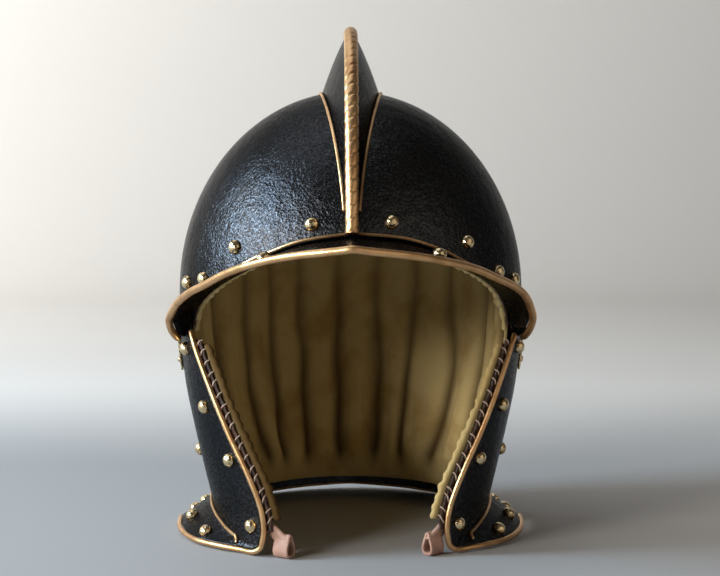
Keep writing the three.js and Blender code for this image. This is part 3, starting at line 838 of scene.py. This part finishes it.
angles = np.linspace(NECK_ROLL_START, 360 - NECK_ROLL_START, 25)
depth = LAPPED + 0.5 * STEEL
edge = beyond(neck_surface, angles, 0 * angles - 1, depth, EDGE_ROLL + ROLL_GAP, along_rim=True)
add_piece("neck_edge_roll", roll(rounded(edge, 240), EDGE_ROLL), gilding, "helmet", "gilt", "neck_edge")

angles = np.linspace(97, 263, 200)
crease_line = under(neck_surface, angles, 0 * angles + 0.03, LAPPED - 0.6)
add_piece("neck_crease_line", roll(crease_line, LINE, 8), gilding, "helmet", "gilt", "neck_line")

# %% [markdown]
# ## Padded lining
# The linen is gathered into upright folds and padded behind. The outer face lies smooth against the
# steel, and only the inner face swells between the gathers, so the padding is a thickness that
# changes round the head. A seeded lattice of random heights adds crumples, the same on every run.


# %% Lining of the skull
def crumple(x, y, across, upright, seed):
    heights = np.random.default_rng(seed).random((upright + 2, across))
    grid_x = np.mod(x, 1) * across
    grid_y = np.clip(y, 0, 1) * upright
    i = np.floor(grid_x).astype(int)
    j = np.floor(grid_y).astype(int)
    along = eased(grid_x - i)
    left = i % across
    right = (i + 1) % across
    low = lerp(heights[j, left], heights[j, right], along)
    high = lerp(heights[j + 1, left], heights[j + 1, right], along)
    return lerp(low, high, eased(grid_y - j)) - 0.5


LINING = 3.6  # mean thickness of the padding
LINING_INSET = 7.4
FOLDS = 22
FOLD_WIDTHS = (0.55, 1.5)  # beside each other
FOLD_DEPTHS = (3.4, 6.6)
GATHERS = 100  # round the head
GATHERED_TO = 80  # degrees from the brow
HEM = 0.05  # of the lining's height


def lining_surface(angle, v):
    low = level_of(lining_edge_at(from_brow(angle)))
    return wall(angle, height_of(lerp(low, 90, v)))


chance = np.random.default_rng(11)
widths = chance.uniform(*FOLD_WIDTHS, FOLDS)
depths = chance.uniform(*FOLD_DEPTHS, FOLDS)
seams = 2 * math.pi * np.r_[0, np.cumsum(widths)] / widths.sum()
columns = np.linspace(-180, 180, 600, endpoint=False)
rows = np.r_[np.linspace(0, 0.06, 9), np.linspace(0.07, 0.95, 64), 0.975, 1]
angle, v = np.meshgrid(np.radians(columns), rows)
around = angle / (2 * math.pi)
drift = 0.18 * crumple(around, v, 24, 5, seed=3) + 0.05 * crumple(around, v, 50, 12, seed=4)
seam = np.interp(np.mod(angle + drift * (1 - v), 2 * math.pi), seams, np.arange(FOLDS + 1))
between_seams = np.minimum(seam.astype(int), FOLDS - 1)
fold = np.sin(math.pi * (seam - between_seams)) ** 1.2
fine = crumple(around + 0.03 * v, v, 70, 12, seed=5) + 0.5 * crumple(around, v, 190, 40, seed=6)
full = LINING - 1.3 + (depths[between_seams] * fold + 2.0 * fine) * (1 - v) ** 0.6
gather = np.cos(GATHERS * angle) * (from_brow(columns) < GATHERED_TO)
hem = np.clip(v / HEM, 0, 1) ** 2
padding = lerp(2.4 + 0.7 * gather, full, hem)
# Painted shade with soiling: ridge is low between the folds and the gathers, so the linen is darker there.
ridge = lerp(0.6 + 0.4 * gather, lerp(1, fold, 1 - v), hem)
lining = shell(lining_surface, columns, rows, LINING_INSET, padding, ring=True, pole=True, bulge=0.4)
skull_lining = add_piece("skull_lining", lining, linen, "helmet", "linen", "lining", crease=80, ridge=ridge)

# %% [markdown]
# ## Leather bands and their stitches
# A dark leather band covers the edge of the lining and is whipped to it with waxed thread. Each stitch
# is a short bent tube that rises out of the leather, crosses the edge and goes into the linen. The
# stitches draw the linen in, so its edge is a roll whose radius swells between one and the next.

# %% Brow band
LEATHER = 1.5
BAND_INSET = 5.1
BAND_WIDTH = 12.0
BAND_END = 71.0  # degrees from the brow


def brow_band_surface(angle, v):
    return wall(angle, skull_edge(angle) + 0.6 + BAND_WIDTH * v)


columns = np.linspace(-BAND_END, BAND_END, 160)
band = shell(brow_band_surface, columns, np.linspace(0, 1, 7), BAND_INSET, LEATHER, bulge=0.4)
add_piece("brow_leather", band, dark_leather, "helmet", "dark_leather", "brow_band")


# %% Brow stitches
THREAD = 0.45  # radius
BEAD = 1.5  # radius of the linen edge
BEAD_INSET = 8.0
BEAD_PITCH = 3.6  # degrees, from stitch to stitch
BROW_STITCH = (6.6, 8.8, 10.0, 9.7, 8.4, 6.2)  # depths along it


def stitch(surface, u, v, lean, depths):
    us = u + np.linspace(0, lean[0], len(depths))
    vs = v + np.linspace(0, lean[1], len(depths))
    return roll(rounded(under(surface, us, vs, np.array(depths)), 9), THREAD, 6)


def brow_edge_surface(angle, rise):
    return wall(angle, skull_edge(angle) + rise)


along_brow = np.linspace(-72, 72, 720)
bead = under(brow_edge_surface, along_brow, 0 * along_brow + 0.4, BEAD_INSET)
swell = BEAD * (1 + 0.3 * np.cos(2 * math.pi * along_brow / BEAD_PITCH))
add_piece("brow_linen_edge", roll(bead, swell, 12), linen, "helmet", "linen", ridge=np.full((1, 1), 0.8))
brow_stitches = [
    stitch(brow_edge_surface, angle, 3.6, (1.4, -4.6), BROW_STITCH)
    for angle in np.arange(-70.2, 70, BEAD_PITCH)
]
add_piece("brow_stitches", together(*brow_stitches), thread, "helmet", "linen")

# %% [markdown]
# ## Cheek pieces
# The cheek pieces hang from hinges at the temples. Each is one plate that follows the wall of the
# helmet and turns out into the flared border at its foot. The two were beaten by hand and differ a
# little: the left one's front edge lies a few degrees further back. So each piece is made by a
# function of that turn, and the right one is mirrored at the end.

# %% The cheek plate
TURN = {"left": 4.0, "right": 0.0}
CHEEK_FRONT = table(
    "z angle",
    (2, 39.4), (9, 37.9), (16, 37.8), (33, 39.9), (60, 47.3), (90, 55.4), (122, 66),
)
CHEEK_TOP = table("angle z", (62, 121), (66, 120.5), (70, 117.5), (74, 116.6), (96, 116.6))
[cheek_front_at] = smooth_columns(CHEEK_FRONT)
[cheek_top_at] = smooth_columns(CHEEK_TOP)


def cheek_front(v):
    z = lerp(CHEEK_FRONT["z"][0], CHEEK_FRONT["z"][-1], np.maximum(v, 0))
    return cheek_front_at(z) + 2 * np.maximum(-v, 0)


def cheek_wall(angle, v):
    return wall(angle, lerp(crease_at(angle), cheek_top_at(angle), np.maximum(v, 0)))


def cheek_surface(turn):
    def surface(u, v):
        angle = lerp(cheek_front(v) + turn, CHEEK_REAR, u)
        return np.where(np.asarray(v < 0)[..., None], flare(angle, -v), cheek_wall(angle, v))

    return surface


def cheek_steel(turn):
    rows = np.r_[np.linspace(-1, -0.05, 12), -0.01, 0.01, np.linspace(0.04, 1, 40)]
    return shell(cheek_surface(turn), np.linspace(0, 1, 60), rows, 0, STEEL)


print("cheek plate:", len(cheek_steel(0.0)[1]), "faces")


# %% Its roll and crease line
def cheek_roll(turn):
    v = np.array([1, 0.92, 0.83, 0.74, 0.66, 0.58, 0.5, 0.34, 0.18, 0.09, 0.03, 0, -0.6])
    u = np.linspace(0.03, 1, 15)
    away = EDGE_ROLL + 1.3 * ROLL_GAP
    front = beyond(cheek_surface(turn), 0 * v, v, 0.5 * STEEL, away, along_rim=False)
    foot = beyond(cheek_surface(turn), u, 0 * u - 1, 0.5 * STEEL, away, along_rim=True)
    return roll(rounded(np.r_[front, foot], 320), EDGE_ROLL)


def cheek_line(turn):
    u = np.r_[0.18, 0.2, np.linspace(0.23, 1, 40)]
    v = np.r_[-0.5, -0.2, np.full(40, 0.012)]
    return roll(rounded(under(cheek_surface(turn), u, v, -0.6), 160), LINE, 8)


print("cheek roll and line:", len(cheek_roll(0.0)[1]), len(cheek_line(0.0)[1]), "faces")

# %% [markdown]
# ## Leather strip and padding of the cheek pieces
# A leather strip shows past the rolled front edge, and the padded linen shows past the strip. The
# strip is whipped to the linen: a slanted stitch comes out of the leather, passes over its free edge
# and goes into the cloth. Each stitch pulls the edge in, so the edge runs in small scallops.

# %% Leather strip
BAND_SHOWS = 3.4  # degrees past the steel
CHEEK_BAND_INSET = 3.0
STITCHES = 17
STITCH_LOW = 0.1  # of the cheek piece's height
STITCH_HIGH = 0.93
CHEEK_STITCH = (3.6, 2.7, 2.5, 2.5, 2.9, 4.8)  # depths along it


def stitch_beat(v):
    return np.cos(2 * math.pi * STITCHES * (v - STITCH_LOW) / (STITCH_HIGH - STITCH_LOW))


def cheek_strip(turn):
    def surface(u, v):
        front = cheek_front(v) + turn - BAND_SHOWS
        scallop = 0.2 * (1 + stitch_beat(v)) * (1 - u) ** 3
        return cheek_wall(front + scallop + 2 * BAND_SHOWS * u, v)

    return surface


def cheek_leather(turn):
    rows = np.linspace(0.08, 0.96, 300)
    return shell(cheek_strip(turn), np.linspace(0, 1, 14), rows, CHEEK_BAND_INSET, LEATHER, bulge=0.4)


def cheek_stitches(turn):
    pitch = (STITCH_HIGH - STITCH_LOW) / STITCHES
    chance = np.random.default_rng(21)
    sewn = []
    for v in STITCH_LOW + pitch * np.arange(STITCHES + 1):
        slip = chance.uniform(-0.12, 0.12)
        lean = (-0.34, chance.uniform(0.55, 0.85) * pitch)
        sewn.append(stitch(cheek_strip(turn), 0.27, v + slip * pitch, lean, CHEEK_STITCH))
    return together(*sewn)


print("cheek strip and stitches:", len(cheek_leather(0.0)[1]), len(cheek_stitches(0.0)[1]), "faces")

# %% Padding
LINING_SHOWS = 4.8  # degrees past the steel
PAD_END = 86.0
CHEEK_LINING_INSET = 5.3
PAINTED_RIM_LIGHTNESS = {"left": 0.65, "right": 0.0}  # how light the front rim is painted; the right one is dark as painted shade


def cheek_padding(turn, rim_lightness):
    def surface(u, v):
        return cheek_wall(lerp(cheek_front(v) + turn - LINING_SHOWS, PAD_END, u), v)

    columns = np.linspace(0, 1, 70)
    rows = np.linspace(0.13, 0.93, 150)
    u, v = np.meshgrid(columns, rows)
    gathers = 0.45 * stitch_beat(v) * np.exp(-u / 0.09)
    creases = 2.4 * crumple(0.8 * u, v, 9, 9, seed=8) + 1.1 * crumple(0.9 * u, v, 24, 30, seed=9)
    padding = LINING - gathers + creases
    # Painted shade with soiling: the linen is darker where the padding is thin, in the creases.
    ridge = np.clip((padding - padding.min()) / (LINING - padding.min()), 0, 1)
    # Painted shade: the front rim takes its painted lightness, dark on the right piece, which stands in
    # shade.
    ridge = lerp(rim_lightness, ridge, np.clip(u / 0.15, 0, 1))
    return shell(surface, columns, rows, CHEEK_LINING_INSET, padding, bulge=0.45), ridge


print("cheek padding:", len(cheek_padding(0.0, 1.0)[0][1]), "faces")

# %% [markdown]
# ## Chin loops
# At the foot of each cheek piece a pale strap is folded double, and its fold is left open as a loop for
# the chin lace. The strap is a rounded strip swept round a closed drop shape, joined to the tab that
# runs up inside the plate.

# %% Chin loop
LOOP_ANGLE = 30.3  # degrees from the brow
LOOP_FOOT = -6.0
LOOP_WIDTH = 10.5
LOOP_TURN = 1.8  # of the turn of its cheek piece
STRAP = 0.95  # half the thickness
SEAT = 4.0  # height where the loop leaves the tab
DROP = np.array([(0.0, 0.95), (2.0, 1.0), (3.15, 2.3), (3.5, 4.1), (2.7, 7.3), (1.5, 10.4), (0.5, 12.6)])


def strap_ring(angle):
    drop = np.r_[DROP, DROP[:0:-1] * (-1, 1)]
    drop = rounded(np.c_[np.r_[drop, drop[:1]], np.zeros(len(drop) + 1)], 57)[:-1, :2]
    forward = unit(np.roll(drop, -1, 0) - np.roll(drop, 1, 0))
    aside = np.c_[forward[:, 1], -forward[:, 0]]
    t = np.linspace(0, 2 * math.pi, 20, endpoint=False)
    thick = STRAP * np.sign(np.sin(t)) * np.abs(np.sin(t)) ** 0.5
    width = 0.5 * LOOP_WIDTH * np.sign(np.cos(t)) * np.abs(np.cos(t)) ** 0.25
    out = outward(angle, SEAT)
    tangent = np.array([-out[1], out[0], 0.0])
    seat = wall(angle, SEAT) - out * (CHEEK_LINING_INSET + 1.6 * LEATHER)
    seat[2] = LOOP_FOOT
    section = drop[:, None] + aside[:, None] * thick[:, None]
    ring = seat + out * section[..., :1] + tangent * width[None, :, None]
    ring[..., 2] += section[..., 1]
    return loft(ring, closed=True)


def chin_loop(turn):
    def tab_surface(u, v):
        return wall(lerp(27, 33.5, u) + 12 * v + LOOP_TURN * turn, lerp(SEAT, 15, v))

    columns = np.linspace(0, 1, 8)
    rows = np.linspace(0, 1, 14)
    tab = shell(tab_surface, columns, rows, CHEEK_LINING_INSET, 2 * LEATHER, bulge=0.4)
    return shaped("chin_loop", strap_ring(LOOP_ANGLE + LOOP_TURN * turn), ("UNION", tab))


print("chin loop:", len(chin_loop(0.0)[1]), "faces")

# %% [markdown]
# ## Hinges
# Each cheek piece turns on a pin at the temple. The skull's leaf carries the two outer knuckles and
# the pin, and the cheek's leaf the knuckle between them. Cutting each leaf clear of the other's
# knuckles with a Boolean leaves the room that they need to turn.

# %% Hinge leaves
TURN_X = 108.2  # where the pin's axis lies
TURN_Z = 117.3
KNUCKLE = 2.4  # radius
PIN = 1.1
LEAF = 1.4  # thickness
LEAF_TOP = 139
LEAF_FOOT = 95
PLAY = 0.4  # beside a knuckle and round the pin
CLEARED = KNUCKLE + 0.5  # radius cut free for a knuckle
HINGE_FRONT = -15.0  # along the pin
FIRST_JOIN = -5.5
SECOND_JOIN = 3.5
HINGE_BACK = 13.0


def temple_surface(y, z):
    reach = np.where(y < 0, front_at(z), back_at(z))
    return wall(90 + np.degrees(np.arcsin(y / reach)), z)


def barrel(start, end, radius):
    t = np.linspace(0, 2 * math.pi, 28, endpoint=False)
    ring = xyz(TURN_X + radius * np.cos(t), 0 * t, TURN_Z + radius * np.sin(t))
    return loft(np.stack([ring + (0, start, 0), ring + (0, end, 0)]))


def hinge_leaf(low, high):
    columns = np.linspace(HINGE_FRONT, HINGE_BACK, 15)
    return shell(temple_surface, columns, np.linspace(low, high, 12), -GAP - LEAF, LEAF)


skull_hinge = shaped(
    "skull_hinge", hinge_leaf(TURN_Z, LEAF_TOP),
    ("DIFFERENCE", barrel(FIRST_JOIN - PLAY, SECOND_JOIN + PLAY, CLEARED)),
    ("UNION", barrel(HINGE_FRONT, FIRST_JOIN, KNUCKLE)),
    ("UNION", barrel(SECOND_JOIN, HINGE_BACK, KNUCKLE)),
    ("UNION", barrel(HINGE_FRONT, HINGE_BACK, PIN)),
)
cheek_hinge = shaped(
    "cheek_hinge", hinge_leaf(LEAF_FOOT, TURN_Z),
    ("DIFFERENCE", barrel(HINGE_FRONT - PLAY, FIRST_JOIN + PLAY, CLEARED)),
    ("DIFFERENCE", barrel(SECOND_JOIN - PLAY, HINGE_BACK + PLAY, CLEARED)),
    ("UNION", barrel(FIRST_JOIN, SECOND_JOIN, KNUCKLE)),
    ("DIFFERENCE", barrel(HINGE_FRONT, HINGE_BACK, PIN + PLAY)),
)
print("hinge leaves:", len(skull_hinge[1]), len(cheek_hinge[1]), "faces")

# %% [markdown]
# ## Rivets
# Domed brass rivets run along every seam. The plain solids already hold their places, so the seat of
# each dome is read from its solid: the axis is the direction in which the solid is thinnest, and the
# flat end has more corners than the tip. The smaller ones on the hinges and behind the neck are new.


# %% Rivet domes
RIVET = 4.1  # radius
RIVET_RISE = 3.6
BEHIND_NECK = (141, 160, 180, 200, 219)  # degrees from the brow
NEAR = 0.1  # of the flat end or the tip


def dome_on(base, axis, radius, rise, sides=22):
    across = unit(np.cross(axis, ODD_DIRECTION))
    other = np.cross(axis, across)
    t = np.linspace(0, 2 * math.pi, sides, endpoint=False)
    spokes = across * np.cos(t)[:, None] - other * np.sin(t)[:, None]
    lean = np.radians(np.linspace(8, 86, 10))
    lift = np.r_[-0.7, 0.1, 0.1 + (rise - 0.1) * np.sin(lean)]
    wide = radius * np.r_[1, 1, np.cos(lean)]
    return loft(base + axis * lift[:, None, None] + spokes * wide[:, None, None])


def seat_of(node):
    corners = np.array([vertex.co for vertex in frame["nodes"][node].data.vertices])
    points = np.unique((corners * MILLIMETRES - SHIFT).round(3), axis=0)
    axis = np.linalg.eigh(np.cov(points.T))[1][:, 0]
    lift = points @ axis
    if np.sum(lift > lift.max() - NEAR) > np.sum(lift < lift.min() + NEAR):
        axis, lift = -axis, -lift
    return points[lift < lift.min() + NEAR].mean(0), axis


def seats_on(surface, places, depth):
    u, v = np.array(places, float).T
    return list(zip(under(surface, u, v, depth), normal_at(surface, u, v)))


bodies = frame["record"]["behaviour"]["bodies"]
rivet_nodes = {body: [n for n in names if n.startswith("rivet_")] for body, names in bodies.items()}
for body, names in rivet_nodes.items():
    domes = [dome_on(*seat_of(node), RIVET, RIVET_RISE) for node in names]
    add_piece(f"rivets_{body}", together(*domes), polished_brass, body, "brass", *names)

behind = seats_on(neck_surface, [(angle, -0.6) for angle in BEHIND_NECK], LAPPED)
domes = [dome_on(*seat, RIVET, RIVET_RISE) for seat in behind]
add_piece("rivets_behind_neck", together(*domes), polished_brass, "helmet", "brass")

# %% [markdown]
# ## Both sides
# Now each cheek piece is put together on the part that swings. The small rivets of the hinge leaves
# are added here, because they sit on the leaves.

# %% Left and right
def with_pins(leaf, places):
    seats = seats_on(temple_surface, places, -GAP - LEAF)
    return together(leaf, *[dome_on(*seat, 2.0, 1.3, 16) for seat in seats])


def on_side(mesh, sign):
    return mesh if sign > 0 else mirrored(mesh)


upper = with_pins(skull_hinge, [(-10, 132), (0, 134), (9, 132)])
lower = with_pins(cheek_hinge, [(-10, 101), (0, 99.5), (9, 101)])

for side, sign in SIDES.items():
    turn = TURN[side]
    cheek = f"cheek_piece_{side}"
    pieces = [
        ("skull_hinge", upper, polished_brass, "helmet", "brass", "hinge_skull"),
        ("cheek_hinge", lower, polished_brass, cheek, "brass", "hinge_cheek"),
        ("cheek_plate", cheek_steel(turn), black_steel, cheek, "black_steel", "cheek"),
        ("cheek_edge_roll", cheek_roll(turn), gilding, cheek, "gilt", "cheek_edge"),
        ("cheek_crease_line", cheek_line(turn), gilding, cheek, "gilt", "cheek_line"),
        ("cheek_leather", cheek_leather(turn), dark_leather, cheek, "dark_leather", "cheek_band"),
    ]
    for name, mesh, finish, body, slot, node in pieces:
        add_piece(f"{name}_{side}", on_side(mesh, sign), finish, body, slot, f"{node}_{side}")
    add_piece(f"cheek_stitches_{side}", on_side(cheek_stitches(turn), sign), thread, cheek, "linen")
    mesh, ridge = cheek_padding(turn, PAINTED_RIM_LIGHTNESS[side])
    mesh = on_side(mesh, sign)
    node = f"cheek_lining_{side}"
    pad = add_piece(f"cheek_pad_{side}", mesh, linen, cheek, "linen", node, crease=80, ridge=ridge)
    loop = on_side(chin_loop(turn), sign)
    node = f"strap_loop_{side}"
    add_piece(f"chin_loop_{side}", loop, pale_leather, cheek, "pale_leather", node, crease=60)

# %% [markdown]
# ## Floor and light
# The helmet stands on a pale floor that sweeps up behind it. The floor is painted paler to the right,
# as painted light that lifts the helmet's shadow there. A cold window high on the left gives the sheen
# on the steel and the shadow to the right, and a wide pale wall and a lower window on that side light
# the gilding and the rivets. A weak warm glow from the right, a soft ceiling and a faint room colour
# fill the rest, so the hollow of the helmet stays dark. One more light brightens the backdrop.

# %% Floor and backdrop
FLOOR_FRONT = -4.0  # metres, as is the rest of the room
FLOOR_BACK = 2.0
BEND = 0.6  # radius of the sweep
WALL_TOP = 4.0
HALF_WIDTH = 5.0
BELOW = 0.0003  # keeps the floor clear of the helmet's foot
# The two ground colours paint the floor darker on the left and paler on the right, as painted light.
DARK_GROUND = (0.33, 0.33, 0.33, 1)
PALE_GROUND = (0.60, 0.59, 0.57, 1)
PALE_WALL = (0.78, 0.765, 0.735, 1)

rise = np.radians(np.linspace(10, 90, 12))
floor_y = np.linspace(-1, FLOOR_BACK, 8)
wall_y = FLOOR_BACK + BEND
sweep_y = np.r_[FLOOR_FRONT, floor_y, FLOOR_BACK + BEND * np.sin(rise), wall_y, wall_y]
sweep_z = np.r_[np.zeros(9), BEND - BEND * np.cos(rise), BEND + 1.0, WALL_TOP]
ends = (-HALF_WIDTH, HALF_WIDTH)
sweep = [(x, y, z - BELOW) for x in ends for y, z in zip(sweep_y, sweep_z)]
count = len(sweep_y)
data = bpy.data.meshes.new("backdrop")
data.from_pydata(sweep, [], [(k, k + count, k + count + 1, k + 1) for k in range(count - 1)])
backdrop = placed("backdrop", data)
paper, shader, place = new_finish("backdrop_paper", Roughness=0.9)
clouded = noise(place, 0.4, detail=2.0) * 0.05
away = between(place.node("SeparateXYZ", None, {0: place}, out=1), 0.2, 0.8)
# Painted light: the floor is paler to the right, to lift the helmet's shadow there.
aside = between(place.node("SeparateXYZ", None, {0: place}, out=0), -0.1, 0.7)
floor_with_painted_light = mix(aside, DARK_GROUND, PALE_GROUND)
feed(shader, Base_Color=mix(away - clouded, floor_with_painted_light, PALE_WALL))
data.materials.append(paper)
data.shade_smooth()
print("backdrop:", len(data.polygons), "faces")


# %% Lights
def soft_light(name, at, towards, size, watts, colour):
    lamp = bpy.data.lights.new(name, "AREA")
    lamp.shape = "RECTANGLE"
    lamp.size, lamp.size_y = size
    lamp.energy = watts
    lamp.color = colour
    light = placed(name, lamp)
    light.visible_camera = False
    light.location = at
    light.rotation_euler = (Vector(towards) - Vector(at)).to_track_quat("-Z", "Y").to_euler()


COLD = (0.60, 0.80, 1.0)
PALE = (1.0, 0.98, 0.94)
CREAM = (1.0, 0.97, 0.92)
WARM = (1.0, 0.84, 0.66)
SKY = (0.97, 0.98, 1.0)
CLEAR = (1.0, 0.98, 0.95)
ROOM_COLOUR = (1.0, 0.90, 0.78, 1)

soft_light("window", (-1.25, -0.12, 0.78), (0, 0, 0.17), size=(0.45, 0.5), watts=22, colour=COLD)
soft_light("bright_wall", (-1.9, -0.2, 0.8), (0, 0, 0.2), size=(2.0, 1.5), watts=22, colour=PALE)
soft_light("low_window", (-1.15, -1.1, 0.55), (0.05, 0, 0.12), size=(0.5, 0.5), watts=19, colour=CREAM)
soft_light("room_glow", (1.3, -1.3, 0.8), (0, 0, 0.15), size=(2.2, 1.6), watts=5.5, colour=WARM)
soft_light("ceiling", (-0.5, 0.5, 2.0), (0, 0, 0.2), size=(1.6, 1.6), watts=8, colour=SKY)
soft_light("wall_wash", (-1.7, 1.2, 1.0), (-0.8, 2.6, 0.5), size=(0.5, 0.8), watts=26, colour=CLEAR)
world = bpy.data.worlds.new("room")
world.use_nodes = True
background = world.node_tree.nodes["Background"]
background.inputs["Color"].default_value = ROOM_COLOUR
background.inputs["Strength"].default_value = 0.07
bpy.context.scene.world = world
bpy.context.scene.view_settings.view_transform = "Standard"
